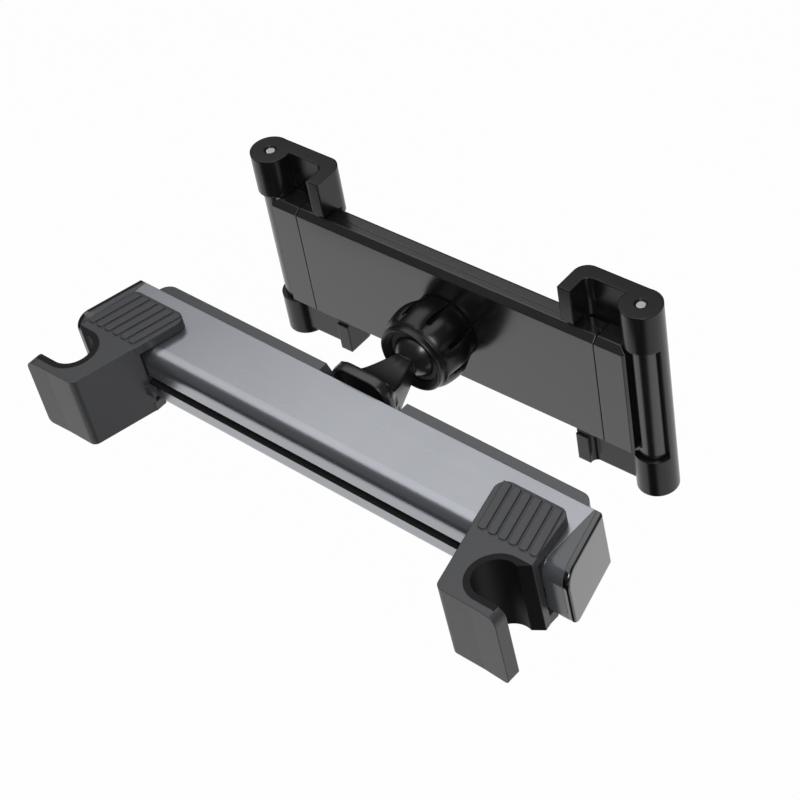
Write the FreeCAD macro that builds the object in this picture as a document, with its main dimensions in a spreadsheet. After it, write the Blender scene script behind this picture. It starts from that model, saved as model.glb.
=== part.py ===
import FreeCAD, Part
import math
import os

os.makedirs("parts", exist_ok=True)

# Headrest tablet mount, millimetres, +Z up.
# The origin is midway between the two headrest posts, at half the height of the bar.
# +X runs along the bar, +Y points back to the tablet cradle, the posts stand along Z.

doc = FreeCAD.newDocument("headrest_tablet_mount")

# Driving sizes. The cradle's own sizes are measured in its own frame, from the ball centre.
values = {
    # posts and grips
    "post_inset": 5.0,
    "post_grip_radius": 7.1,
    "liner_thickness": 2.1,
    "grip_half_height": 14.1,
    "grip_bar_gap": 0.5,
    "grip_tip_corner": 1.8,
    "grip_tip_top_corner": 3.6,
    "liner_flat": 7.0,
    "grip_inner_front": 12.6,
    "grip_inner_rear": 24.0,
    "grip_outer_front": 5.7,
    "grip_tip_reach": 9.5,
    "liner_mouth_rear": 6.8,
    "grip_front_wall": 2.4,
    "grip_tip_flare": 0.4,
    "grip_tip_lip": 0.25,
    "grip_lower_lip": 3.4,
    "grip_corner": 2.6,
    "tongue_width": 26.1,
    "tongue_reach_gap": 6.7,
    "tongue_corner": 3.8,
    "rib_count": 6.0,
    "rib_step": 3.82,
    "rib_depth": 0.55,
    "rib_start": 2.0,
    "rib_gap": 0.9,
    "rib_end_gap": 1.0,
    "grip_travel": 28.0,
    # bar shell
    "shell_half": 95.0,
    "shell_depth": 25.0,
    "shell_height": 21.0,
    "shell_wall": 1.8,
    "shell_top_round": 5.5,
    "shell_bottom_round": 3.0,
    "shell_to_post": 12.4,
    "slot_height": 3.2,
    "slot_drop": 0.7,
    "slider_inner": 20.5,
    "slider_outer": 2.5,
    "slider_half_height": 6.0,
    "slider_depth": 12.0,
    "slider_lug": 2.2,
    "slider_screw_x": 4.5,
    "web_reach": 4.0,
    "tab_reach": 3.0,
    "tab_depth": 2.2,
    "tab_height": 3.4,
    # end caps
    "cap_rear_reach": 0.8,
    "cap_slope": 0.272,
    "cap_plug": 5.0,
    "end_plate_thickness": 2.2,
    "end_plate_rim": 0.9,
    # rear plate and inside of the bar
    "back_plate_half": 91.0,
    "back_plate_thickness": 5.2,
    "back_plate_corner": 4.6,
    "back_plate_drop": 2.5,
    "back_plate_screw_x": 66.0,
    "back_plate_screw_z": 4.9,
    "recess_half": 14.3,
    "recess_bevel_depth": 4.2,
    "recess_strip": 2.3,
    "recess_bevel": 2.9,
    "spring_radius": 2.9,
    "spring_wire": 0.8,
    "spring_turns": 12.0,
    "block_half": 13.0,
    "block_depth": 9.0,
    # screws
    "screw_radius": 1.25,
    "screw_head_radius": 2.3,
    "screw_head_height": 1.4,
    "screw_socket": 0.8,
    # ball arm
    "arm_lift": 1.9,
    "foot_half_width": 11.5,
    "foot_half_height": 10.85,
    "foot_thickness": 4.0,
    "foot_rise": 1.35,
    "foot_gap": 1.6,
    "root_half": 10.0,
    "root_half_height": 4.9,
    "shoulder_half": 3.4,
    "shoulder_half_height": 3.3,
    "shoulder_back": 7.8,
    "flare_round": 5.0,
    "foot_corner": 6.0,
    "foot_rim": 1.2,
    "arm_screw_x": 7.4,
    "pocket_depth": 1.6,
    "neck_radius": 3.2,
    "ball_radius": 8.6,
    "ball_reach": 30.0,
    # ball seat
    "seat_clearance": 0.05,
    "cup_wall": 0.5,
    "ring_wall": 0.5,
    "collet_wall": 1.1,
    "collet_lip": 4.1,
    "collet_flange_radius": 12.6,
    "collet_flange_thickness": 1.8,
    # collar nut
    "nut_clearance": 0.05,
    "nut_radius": 14.3,
    "nut_front": 6.2,
    "nut_lip_radius": 11.4,
    "nut_opening": 9.2,
    "nut_lip_thickness": 1.9,
    "nut_back_gap": 0.5,
    "nut_grip_count": 8.0,
    "nut_flute_out": 0.2,
    "nut_flute_radius": 1.8,
    "nut_flute_start": 3.2,
    # tablet cradle
    "cradle_pitch": -1.8,
    "cradle_yaw": 2.5,
    "cradle_roll": 1.7,
    "cover_gap": 12.5,
    "cover_half": 59.5,
    "cover_half_height": 22.5,
    "cover_thickness": 8.9,
    "cover_split": 4.6,
    "cover_wall": 2.0,
    "cover_bevel_back": 2.2,
    "cover_bevel_down": 1.9,
    "cover_screw_x": 44.0,
    "cover_screw_sink": 0.4,
    "cover_boss_radius": 3.0,
    "cover_peg_x": 15.0,
    "pad_thickness": 1.2,
    "pad_half": 50.0,
    "pad_half_height": 18.5,
    "slide_seam": 0.4,
    "slide_clearance": 0.3,
    "slide_width": 12.2,
    "slide_bevel": 2.0,
    "slide_channel": 42.0,
    "tongue_start": 13.0,
    "tongue_half_thickness": 1.3,
    "tongue_length": 50.0,
    "slide_slot_half": 4.2,
    "slide_travel": 28.0,
    "slide_spring_radius": 1.9,
    "slide_spring_wire": 0.5,
    "slide_spring_turns": 16.0,
    "post_peg_radius": 1.5,
    # folding hooks
    "hinge_out": 1.4,
    "hinge_depth": 7.4,
    "hook_radius": 6.8,
    "hook_half_height": 37.6,
    "spine_wall": 1.2,
    "spine_start": -12.0,
    "spine_end": 98.0,
    "knuckle_clearance": 0.3,
    "hook_reach": 25.9,
    "arm_front": 14.1,
    "window_slope": 0.21,
    "window_back_slope": 0.14,
    "hook_arm_wall": 4.9,
    "hook_return_wall": 4.7,
    "hook_return_depth": 13.2,
    "hook_lower_end": 35.3,
    "hook_corner": 4.8,
    "hook_inner_corner": 2.8,
    "hook_tip_lift": 1.5,
    "hook_skirt": 3.2,
    "hook_lower_wall": 10.6,
    "pin_radius": 1.5,
    "pin_recess": 0.5,
    "running_clearance": 0.05,
    "part_clearance": 0.3,
}

sheet = doc.addObject("Spreadsheet::Sheet", "sizes")
for row, (alias, number) in enumerate(values.items(), start=1):
    sheet.set(f"A{row}", alias.replace("_", " "))
    sheet.set(f"B{row}", str(number))
    sheet.setAlias(f"B{row}", alias)
doc.recompute()


class Size:
    """A length that knows its number and its formula over the sheet's cells."""

    def __init__(self, value, formula):
        self.value = float(value)
        self.formula = formula

    def __add__(self, other):
        other = as_size(other)
        return Size(self.value + other.value, f"({self.formula} + {other.formula})")

    def __sub__(self, other):
        other = as_size(other)
        return Size(self.value - other.value, f"({self.formula} - {other.formula})")

    def __mul__(self, other):
        other = as_size(other)
        return Size(self.value * other.value, f"({self.formula} * {other.formula})")

    def __truediv__(self, other):
        other = as_size(other)
        return Size(self.value / other.value, f"({self.formula} / {other.formula})")

    def __neg__(self):
        return Size(-self.value, f"(0 - {self.formula})")

    def __radd__(self, other):
        return as_size(other) + self

    def __rsub__(self, other):
        return as_size(other) - self

    def __rmul__(self, other):
        return as_size(other) * self


def as_size(number):
    return number if isinstance(number, Size) else Size(number, repr(float(number)))


class Sizes:
    """The sheet's cells by name, each as a Size."""

    def __getattr__(self, alias):
        return Size(sheet.get(alias), f"sizes.{alias}")


size = Sizes()
pieces = {}


# Modelling steps shared by the pieces

def keep(label, piece, placement=None):
    """Name a finished piece, and place it where its own frame stands."""
    piece.Label = label
    if placement is not None:
        piece.Placement = placement
    pieces[label] = piece
    return piece


def set_length(piece, name, length):
    piece.setExpression(name, as_size(length).formula)


def stand(piece, x, y, z, turn=None):
    """Put a primitive at a place given by sizes, after an optional fixed turn."""
    turn = turn or FreeCAD.Rotation()
    start = FreeCAD.Vector(as_size(x).value, as_size(y).value, as_size(z).value)
    piece.Placement = FreeCAD.Placement(start, turn)
    for axis, place in zip("xyz", (x, y, z)):
        piece.setExpression(f".Placement.Base.{axis}", as_size(place).formula)
    return piece


def box(name, x_span, y_span, z_span):
    piece = doc.addObject("Part::Box", name)
    for side, span in zip(("Length", "Width", "Height"), (x_span, y_span, z_span)):
        set_length(piece, side, as_size(span[1]) - span[0])
    return stand(piece, x_span[0], y_span[0], z_span[0])


TURNS = {
    "x": FreeCAD.Rotation(FreeCAD.Vector(0, 1, 0), 90),
    "y": FreeCAD.Rotation(FreeCAD.Vector(1, 0, 0), -90),
    "z": FreeCAD.Rotation(),
}


def rod(name, radius, length, x, y, z, axis="z", turn=None):
    piece = doc.addObject("Part::Cylinder", name)
    set_length(piece, "Radius", radius)
    set_length(piece, "Height", length)
    return stand(piece, x, y, z, turn or TURNS[axis])


def ball(name, radius, x, y, z):
    piece = doc.addObject("Part::Sphere", name)
    set_length(piece, "Radius", radius)
    return stand(piece, x, y, z)


def fuse(name, *parts):
    piece = doc.addObject("Part::MultiFuse", name)
    piece.Shapes = list(parts)
    return piece


def cut(name, base, *tools):
    piece = doc.addObject("Part::Cut", name)
    piece.Base = base
    piece.Tool = tools[0] if len(tools) == 1 else fuse(f"{name}_tools", *tools)
    return piece


def overlap(name, first, second):
    piece = doc.addObject("Part::Common", name)
    piece.Base = first
    piece.Tool = second
    return piece


def round_edges(name, base, radius, chosen):
    """Round the edges whose midpoint and direction the rule accepts."""
    doc.recompute()
    picked = []
    for number, edge in enumerate(base.Shape.Edges, start=1):
        first, last = edge.ParameterRange
        middle = edge.valueAt((first + last) / 2)
        along = edge.tangentAt((first + last) / 2)
        if chosen(edge, middle, along):
            picked.append((number, as_size(radius).value, as_size(radius).value))
    if not picked:
        raise ValueError(f"{name}: no edge to round")
    piece = doc.addObject("Part::Fillet", name)
    piece.Base = base
    piece.Edges = picked
    return piece


def straight_along(axis):
    """A rule for straight edges that run along one axis."""
    def rule(edge, middle, along):
        line = isinstance(edge.Curve, (Part.Line, Part.LineSegment))
        return line and abs(getattr(along, axis)) > 0.99
    return rule


PLANES = {"xy": "XY_Plane", "xz": "XZ_Plane", "yz": "YZ_Plane"}


def sketch_on(body, name, plane, start):
    """A sketch on one of the body's own planes, moved along its normal by start."""
    drawing = body.newObject("Sketcher::SketchObject", name)
    base = [item for item in body.Origin.OriginFeatures if item.Role == PLANES[plane]][0]
    drawing.AttachmentSupport = [(base, "")]
    drawing.MapMode = "FlatFace"
    drawing.setExpression(".AttachmentOffset.Base.z", as_size(start).formula)
    return drawing


def draw_outline(drawing, points):
    """A closed outline of straight lines, each corner held by the sheet's sizes."""
    import Sketcher
    spots = [FreeCAD.Vector(as_size(x).value, as_size(y).value, 0) for x, y in points]
    total = len(points)
    first = drawing.GeometryCount
    for index in range(total):
        line = Part.LineSegment(spots[index], spots[(index + 1) % total])
        drawing.addGeometry(line, False)
    for index in range(total):
        after = first + (index + 1) % total
        drawing.addConstraint(Sketcher.Constraint("Coincident", first + index, 2, after, 1))
    for index, (x, y) in enumerate(points):
        for kind, length in (("DistanceX", x), ("DistanceY", y)):
            length = as_size(length)
            limit = Sketcher.Constraint(kind, -1, 1, first + index, 1, length.value)
            number = drawing.addConstraint(limit)
            drawing.setExpression(f"Constraints[{number}]", length.formula)


def draw_circle(drawing, x, y, radius):
    import Sketcher
    x, y, radius = as_size(x), as_size(y), as_size(radius)
    centre = FreeCAD.Vector(x.value, y.value, 0)
    number = drawing.addGeometry(Part.Circle(centre, FreeCAD.Vector(0, 0, 1), radius.value), False)
    held = drawing.addConstraint(Sketcher.Constraint("Radius", number, radius.value))
    drawing.setExpression(f"Constraints[{held}]", radius.formula)
    for kind, length in (("DistanceX", x), ("DistanceY", y)):
        held = drawing.addConstraint(Sketcher.Constraint(kind, -1, 1, number, 3, length.value))
        drawing.setExpression(f"Constraints[{held}]", length.formula)


def padded(name, plane, points, start, length):
    """A body made by padding one straight-lined outline along its plane's normal."""
    body = doc.addObject("PartDesign::Body", name)
    drawing = sketch_on(body, f"{name}_outline", plane, start)
    draw_outline(drawing, points)
    pad = body.newObject("PartDesign::Pad", f"{name}_pad")
    pad.Profile = drawing
    set_length(pad, "Length", length)
    body.Tip = pad
    return body


def turned(name, points):
    """A body turned about the Y axis from one outline of radius and place along Y."""
    body = doc.addObject("PartDesign::Body", name)
    drawing = sketch_on(body, f"{name}_outline", "xy", 0)
    draw_outline(drawing, points)
    turn = body.newObject("PartDesign::Revolution", f"{name}_turn")
    turn.Profile = drawing
    turn.ReferenceAxis = (drawing, ["V_Axis"])
    turn.Angle = 360.0
    body.Tip = turn
    return body


def round_body(body, name, radius, chosen):
    """Round edges of a body's last feature as a feature of the same body."""
    doc.recompute()
    base = body.Tip
    picked = []
    for number, edge in enumerate(base.Shape.Edges, start=1):
        first, last = edge.ParameterRange
        middle = edge.valueAt((first + last) / 2)
        along = edge.tangentAt((first + last) / 2)
        if chosen(edge, middle, along):
            picked.append(f"Edge{number}")
    if not picked:
        raise ValueError(f"{name}: no edge to round")
    feature = body.newObject("PartDesign::Fillet", name)
    feature.Base = (base, picked)
    set_length(feature, "Radius", radius)
    body.Tip = feature
    return body


# Bar: the grey shell with its slot, closed by splayed caps

post = size.shell_half - size.post_inset
ring = size.post_grip_radius + size.liner_thickness
bar_front = size.shell_to_post
bar_rear = bar_front + size.shell_depth
bar_half = size.shell_height / 2
wall = size.shell_wall
slot_top = size.slot_height / 2 - size.slot_drop
slot_bottom = -size.slot_height / 2 - size.slot_drop

shell = padded(
    "bar_shell_blank",
    "yz",
    [
        (bar_front, -bar_half),
        (bar_rear, -bar_half),
        (bar_rear, bar_half),
        (bar_front, bar_half),
        (bar_front, slot_top),
        (bar_front + wall, slot_top),
        (bar_front + wall, bar_half - wall),
        (bar_rear - wall, bar_half - wall),
        (bar_rear - wall, -bar_half + wall),
        (bar_front + wall, -bar_half + wall),
        (bar_front + wall, slot_bottom),
        (bar_front, slot_bottom),
    ],
    -size.shell_half,
    size.shell_half * 2,
)


def near(value, target, reach=0.05):
    return abs(value - as_size(target).value) < reach


def long_edge_at(y, z):
    """A rule for the edge along X at one place of the section."""
    def rule(edge, middle, along):
        return abs(along.x) > 0.99 and near(middle.y, y) and near(middle.z, z)
    return rule


round_body(shell, "shell_inner_round", size.shell_top_round - wall,
           long_edge_at(bar_front + wall, bar_half - wall))
round_body(shell, "shell_top_rounding", size.shell_top_round, long_edge_at(bar_front, bar_half))
round_body(shell, "shell_bottom_rounding", size.shell_bottom_round,
           long_edge_at(bar_front, -bar_half))
round_body(shell, "shell_lip_rounding", wall * 0.45, long_edge_at(bar_front, slot_bottom))

clearance = size.part_clearance
screw_gap = size.running_clearance


def screw_along(name, x, y, z, length, axis, forward):
    """A pan head screw whose head stands at the given place, its shank running on from there."""
    hole = size.screw_head_radius * 0.5
    head_start = {"x": x, "y": y, "z": z}
    shank_start = dict(head_start)
    socket_start = dict(head_start)
    if forward:
        shank_start[axis] = head_start[axis] + size.screw_head_height
    else:
        shank_start[axis] = head_start[axis] - size.screw_head_height - length
        head_start[axis] = head_start[axis] - size.screw_head_height
        socket_start[axis] = socket_start[axis] - size.screw_socket
    head = rod(f"{name}_head", size.screw_head_radius, size.screw_head_height,
               head_start["x"], head_start["y"], head_start["z"], axis)
    shank = rod(f"{name}_shank", size.screw_radius, length,
                shank_start["x"], shank_start["y"], shank_start["z"], axis)
    socket = rod(f"{name}_socket", hole, size.screw_socket,
                 socket_start["x"], socket_start["y"], socket_start["z"], axis)
    return cut(name, fuse(f"{name}_solid", head, shank), socket)


def screw_room(name, x, y, z, length, axis, forward, head_room):
    """The hole that clears a screw: its shank, its head and the way in above the head."""
    shank_start = {"x": x, "y": y, "z": z}
    head_start = dict(shank_start)
    deep = size.screw_head_height + screw_gap
    if forward:
        head_start[axis] = head_start[axis] - head_room
    else:
        shank_start[axis] = shank_start[axis] - size.screw_head_height - length
        head_start[axis] = head_start[axis] - deep
    shank = rod(f"{name}_shank", size.screw_radius + screw_gap,
                length + size.screw_head_height + screw_gap,
                shank_start["x"], shank_start["y"], shank_start["z"] - 0, axis)
    head = rod(f"{name}_head", size.screw_head_radius + screw_gap * 2, deep + head_room,
               head_start["x"], head_start["y"], head_start["z"], axis)
    return fuse(name, shank, head)


# Rear plate, cut away round the arm's foot, held by four screws
back = bar_rear + size.back_plate_thickness
plate_top = bar_half - size.back_plate_drop
plate_blank = box("rear_plate_blank", (-size.back_plate_half, size.back_plate_half),
                  (bar_rear, back), (-bar_half, plate_top))
plate_round = round_edges("rear_plate_rounded", plate_blank, size.back_plate_corner,
                          lambda edge, middle, along: abs(along.z) > 0.99
                          and near(middle.y, back))
recess_out = size.recess_half + size.recess_bevel
recess = padded(
    "recess_blank",
    "xz",
    [
        (-size.recess_half, -bar_half + size.recess_strip),
        (size.recess_half, -bar_half + size.recess_strip),
        (size.recess_half, plate_top - size.recess_bevel_depth),
        (recess_out, plate_top),
        (recess_out, plate_top + 1),
        (-recess_out, plate_top + 1),
        (-recess_out, plate_top),
        (-size.recess_half, plate_top - size.recess_bevel_depth),
    ],
    -back - 1,
    size.back_plate_thickness + 2,
)
plate_screw_length = size.back_plate_thickness - size.screw_head_height + wall
plate_spots = [(x, z) for x in (-1, 1) for z in (-1, 1)]
plate_rooms = []
plate_screws = []
for number, (x_side, z_side) in enumerate(plate_spots, start=1):
    spot = (size.back_plate_screw_x * x_side, back, size.back_plate_screw_z * z_side)
    plate_rooms.append(screw_room(f"plate_screw_room_{number}", *spot,
                                  plate_screw_length, "y", False, 1))
    plate_screws.append(screw_along(f"plate_screw_{number}", *spot,
                                    plate_screw_length, "y", False))
keep("bar_rear_plate", cut("rear_plate", plate_round, recess, *plate_rooms))
keep("rear_plate_screws", fuse("plate_screws", *plate_screws))

# Arm: foot, flared shaft, neck and ball in one moulding
arm_z = size.arm_lift
ball_y = bar_rear + size.ball_reach
foot_y = bar_rear + size.foot_gap
foot_low = arm_z + size.foot_rise - size.foot_half_height
foot_high = arm_z + size.foot_rise + size.foot_half_height
foot_back = foot_y + size.foot_thickness
shoulder_y = ball_y - size.shoulder_back
arm_top = padded(
    "arm_from_above",
    "xy",
    [
        (-size.foot_half_width, foot_y),
        (size.foot_half_width, foot_y),
        (size.foot_half_width, foot_back),
        (size.root_half, foot_back),
        (size.shoulder_half, shoulder_y),
        (-size.shoulder_half, shoulder_y),
        (-size.root_half, foot_back),
        (-size.foot_half_width, foot_back),
    ],
    foot_low,
    size.foot_half_height * 2,
)


def upright_at(x, y):
    def rule(edge, middle, along):
        return abs(along.z) > 0.99 and near(abs(middle.x), x) and near(middle.y, y)
    return rule


round_body(arm_top, "arm_foot_rim_sides", size.foot_rim,
           upright_at(size.foot_half_width, foot_back))
arm_side = padded(
    "arm_from_side",
    "yz",
    [
        (foot_y, foot_low),
        (foot_back, foot_low),
        (foot_back, arm_z - size.root_half_height),
        (shoulder_y, arm_z - size.shoulder_half_height),
        (shoulder_y, arm_z + size.shoulder_half_height),
        (foot_back, arm_z + size.root_half_height),
        (foot_back, foot_high),
        (foot_y, foot_high),
    ],
    -size.foot_half_width - 1,
    size.foot_half_width * 2 + 2,
)
round_body(arm_side, "arm_flare_top", size.flare_round,
           lambda edge, middle, along: abs(along.x) > 0.99 and near(middle.y, foot_back)
           and near(middle.z, arm_z + size.root_half_height))
round_body(arm_side, "arm_flare_bottom", size.flare_round * 0.4,
           lambda edge, middle, along: abs(along.x) > 0.99 and near(middle.y, foot_back)
           and near(middle.z, arm_z - size.root_half_height))
round_body(arm_side, "arm_foot_rim_top", size.foot_rim,
           lambda edge, middle, along: abs(along.x) > 0.99 and near(middle.y, foot_back)
           and not foot_low.value + 1 < middle.z < foot_high.value - 1)
arm_face = padded(
    "arm_from_behind",
    "xz",
    [
        (-size.foot_half_width, foot_low),
        (size.foot_half_width, foot_low),
        (size.foot_half_width, foot_high),
        (-size.foot_half_width, foot_high),
    ],
    -ball_y,
    size.ball_reach,
)
round_body(arm_face, "arm_foot_corners", size.foot_corner, straight_along("y"))
arm_blank = overlap("arm_silhouettes", overlap("arm_crossing", arm_top, arm_side), arm_face)
neck = rod("arm_neck", size.neck_radius, size.ball_reach * 0.5,
           0, ball_y - size.ball_reach * 0.5, arm_z, "y")
foot_boss = box("arm_foot_boss", (-size.foot_half_width + 2.5, size.foot_half_width - 2.5),
                (bar_rear, foot_y + 0.5), (foot_low + 2.5, foot_high - 8.0))
arm_ball = ball("arm_ball", size.ball_radius, 0, ball_y, arm_z)
pockets = []
for side in (-1, 1):
    low = [(foot_back - 1, arm_z - 4.4), (foot_back + 5.6, arm_z - 2.2), (foot_back - 1, arm_z - 0.9)]
    high = [(foot_back - 1, arm_z + 4.4), (foot_back - 1, arm_z + 0.9), (foot_back + 5.6, arm_z + 2.2)]
    for word, outline in (("low", low), ("high", high)):
        depth = size.pocket_depth * 4
        start = size.root_half - size.pocket_depth
        start = start if side > 0 else -start - depth
        pockets.append(padded(f"arm_pocket_{word}_{side + 1}", "yz", outline, start, depth))
arm_spots = [(-1, "left"), (1, "right")]
block_front = bar_rear - wall - size.block_depth
arm_screw_length = size.block_depth + wall + size.foot_gap + size.foot_thickness * 0.6
arm_screw_length = arm_screw_length - size.screw_head_height - size.screw_socket
arm_rooms = []
arm_screws = []
for side, word in arm_spots:
    spot = (size.arm_screw_x * side, block_front + size.screw_socket, 0)
    arm_rooms.append(screw_room(f"arm_screw_room_{word}", *spot, arm_screw_length, "y", True, 2))
    arm_screws.append(screw_along(f"arm_screw_{word}", *spot, arm_screw_length, "y", True))
keep("ball_arm", cut("arm", fuse("arm_solid", arm_blank, neck, arm_ball, foot_boss), *pockets, *arm_rooms))
keep("arm_screws", fuse("arm_screw_pair", *arm_screws))
block = box("bar_block_blank", (-size.block_half, size.block_half),
            (block_front, bar_rear - wall),
            (-bar_half + wall + 0.1, bar_half - wall - 0.1))
keep("bar_inner_block", cut("bar_block", block, *arm_rooms))
keep("bar_shell", cut("shell_with_holes", shell, *plate_rooms, *arm_rooms))


def spring(name, radius, wire, turns, length, x, y, z):
    """A coil spring along X, starting at the given place."""
    coil = doc.addObject("Part::Helix", f"{name}_path")
    set_length(coil, "Pitch", (length - wire) / turns)
    set_length(coil, "Height", length - wire)
    set_length(coil, "Radius", radius - wire / 2)
    section = doc.addObject("Part::Circle", f"{name}_section")
    set_length(section, "Radius", wire / 2)
    stand(section, radius - wire / 2, 0, 0, FreeCAD.Rotation(FreeCAD.Vector(1, 0, 0), 90))
    sweep = doc.addObject("Part::Sweep", name)
    sweep.Sections = [section]
    sweep.Spine = (coil, [])
    sweep.Solid = True
    sweep.Frenet = True
    return stand(sweep, x + wire / 2, y, z, TURNS["x"])


# Pieces that come in a left and a right one

for side, word in ((-1, "left"), (1, "right")):
    def sided(near_end, far_end, s=side):
        """A span along X on this side, in rising order."""
        return (near_end, far_end) if s > 0 else (-as_size(far_end), -as_size(near_end))

    def mirrored(points, s=side):
        """An outline on this side."""
        return [(as_size(x) * s, y) for x, y in points]

    # End cap: a wedge with a plug in the shell, and a glossy plate glued on it
    rear_x = size.shell_half + size.cap_rear_reach
    front_x = rear_x + size.shell_depth * size.cap_slope
    wedge = padded(
        f"{word}_cap_wedge",
        "xy",
        mirrored([
            (size.shell_half, bar_front),
            (size.shell_half, bar_rear),
            (rear_x, bar_rear),
            (front_x, bar_front),
        ]),
        -bar_half,
        bar_half * 2,
    )
    round_body(wedge, f"{word}_cap_top_round", size.shell_top_round,
               long_edge_at(bar_front, bar_half))
    round_body(wedge, f"{word}_cap_bottom_round", size.shell_bottom_round,
               long_edge_at(bar_front, -bar_half))
    plug_gap = 0.1
    plug = box(f"{word}_cap_plug",
               sided(size.shell_half - size.cap_plug, size.shell_half),
               (bar_front + wall + size.shell_top_round * 0.55, bar_rear - wall - plug_gap),
               (-bar_half + wall + plug_gap, bar_half - wall - plug_gap))
    keep(f"{word}_end_cap", fuse(f"{word}_cap", wedge, plug))
    slab_x = size.end_plate_thickness
    slab = padded(
        f"{word}_end_slab",
        "xy",
        mirrored([
            (rear_x, bar_rear),
            (rear_x + slab_x, bar_rear),
            (front_x + slab_x, bar_front),
            (front_x, bar_front),
        ]),
        -bar_half,
        bar_half * 2,
    )
    lengthwise = [("top", bar_half, size.shell_top_round), ("bottom", -bar_half, size.shell_bottom_round)]
    for end, z, radius in lengthwise:
        round_body(slab, f"{word}_slab_{end}_round", radius,
                   lambda edge, middle, along, z=z: abs(along.x) > 0.99
                   and near(middle.y, bar_front) and near(middle.z, z))
    round_body(slab, f"{word}_slab_rim", size.end_plate_rim,
               lambda edge, middle, along: near(
                   abs(middle.x) + (middle.y - bar_front.value) * size.cap_slope.value,
                   front_x + slab_x))
    keep(f"{word}_end_plate", slab)

    # Post hook: block and finger round the post, tongue over the bar with six ribs
    grip = size.grip_half_height
    front_y = -ring - size.grip_front_wall
    rear_y = bar_front - size.grip_bar_gap
    far_y = bar_rear - size.tongue_reach_gap
    in_front = post - size.grip_inner_front
    in_rear = post - size.grip_inner_rear
    slope = (in_front - in_rear) / (far_y - front_y)
    in_mid = in_front - slope * (rear_y - front_y)
    out_rear = in_rear + size.tongue_width
    out_front = post + size.grip_outer_front
    out_slope = (out_front - out_rear) / (far_y - ring)
    out_mid = out_front - out_slope * (rear_y - ring)
    tip_x = post + size.grip_tip_reach
    tip_inside = -size.post_grip_radius - size.grip_tip_lip
    block_outline = [
        (in_front, front_y),
        (post, front_y),
        (tip_x, front_y - size.grip_tip_flare),
        (tip_x, tip_inside),
        (post + size.liner_flat, tip_inside),
        (post + size.liner_flat, -ring),
        (post, -ring),
        (post, ring),
        (out_front, ring),
        (out_mid, rear_y),
        (in_mid, rear_y),
    ]
    hook_block = padded(f"{word}_hook_block", "xy", mirrored(block_outline), -grip, grip * 2)
    round_body(hook_block, f"{word}_hook_front_corner", size.grip_corner,
               lambda edge, middle, along: abs(along.z) > 0.99
               and near(abs(middle.x), in_front) and near(middle.y, front_y))
    round_body(hook_block, f"{word}_hook_tip_corner", size.grip_tip_corner,
               lambda edge, middle, along: abs(along.y) > 0.99 and middle.z < 0
               and near(abs(middle.x), tip_x))
    round_body(hook_block, f"{word}_hook_tip_top_corner", size.grip_tip_top_corner,
               lambda edge, middle, along: abs(along.y) > 0.99 and middle.z > 0
               and near(abs(middle.x), tip_x) and middle.y < 0)
    tongue_outline = [
        (in_mid, rear_y - 1),
        (out_mid, rear_y - 1),
        (out_rear, far_y),
        (in_rear, far_y),
    ]
    tongue_low = bar_half + clearance
    lower_lip = padded(f"{word}_hook_lower_lip", "xy", mirrored([
        (in_mid, rear_y - 1),
        (out_mid, rear_y - 1),
        (out_mid, rear_y + size.grip_lower_lip),
        (in_mid, rear_y + size.grip_lower_lip),
    ]), -grip, grip - tongue_low)
    tongue = padded(f"{word}_hook_tongue", "xy", mirrored(tongue_outline), tongue_low,
                    grip - tongue_low)
    round_body(tongue, f"{word}_hook_tongue_corners", size.tongue_corner,
               lambda edge, middle, along: abs(along.z) > 0.99 and near(middle.y, far_y))
    ribs = []
    rib_width = size.rib_step - size.rib_gap
    for number in range(int(size.rib_count.value)):
        rib_rear = far_y - size.rib_end_gap
        shift = slope * (rib_rear - rear_y)
        start = in_mid + size.rib_start + size.rib_step * number
        rib = padded(f"{word}_rib_{number + 1}", "xy", mirrored([
            (start, rear_y),
            (start + rib_width, rear_y),
            (start + rib_width - shift, rib_rear),
            (start - shift, rib_rear),
        ]), grip - 0.5, size.rib_depth + 0.5)
        round_body(rib, f"{word}_rib_{number + 1}_ends", rib_width * 0.36,
                   lambda edge, middle, along: abs(along.z) > 0.99 and near(middle.y, rear_y))
        ribs.append(rib)
    slot_mid = -size.slot_drop
    web_half = size.slot_height / 2 - clearance
    slider_in = post - size.slider_inner
    slider_out = post - size.slider_outer
    slider_front = bar_front + wall + clearance
    web_inset = 2.0
    web = box(f"{word}_hook_web", sided(slider_in + web_inset, slider_out - web_inset),
              (rear_y - 1, slider_front + size.web_reach), (slot_mid - web_half, slot_mid + web_half))
    tab = box(f"{word}_hook_tab", sided(in_mid - size.tab_reach, in_mid + 3),
              (rear_y - size.tab_depth, rear_y), (slot_bottom - size.tab_height, slot_bottom - 0.2))
    notch = rod(f"{word}_hook_notch", ring, grip * 2 + 2, post * side, 0, -grip - 1)
    slider_screw_length = size.slider_half_height * 1.5
    screw_middle = (slider_in + slider_out) / 2
    rooms = []
    screws = []
    for number, offset in enumerate((-1, 1), start=1):
        spot = ((screw_middle + size.slider_screw_x * offset) * side,
                slider_front + size.web_reach * 0.5,
                slot_mid + size.slider_half_height)
        rooms.append(screw_room(f"{word}_slider_room_{number}", *spot,
                                slider_screw_length, "z", False, 1))
        screws.append(screw_along(f"{word}_slider_screw_{number}", *spot,
                                  slider_screw_length, "z", False))
    keep(f"{word}_post_hook", cut(f"{word}_hook_moulding",
                                  fuse(f"{word}_hook_solid", hook_block, lower_lip, tongue, web,
                                       tab, *ribs),
                                  notch, *rooms))
    keep(f"{word}_slider_screws", fuse(f"{word}_slider_screw_pair", *screws))

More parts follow.
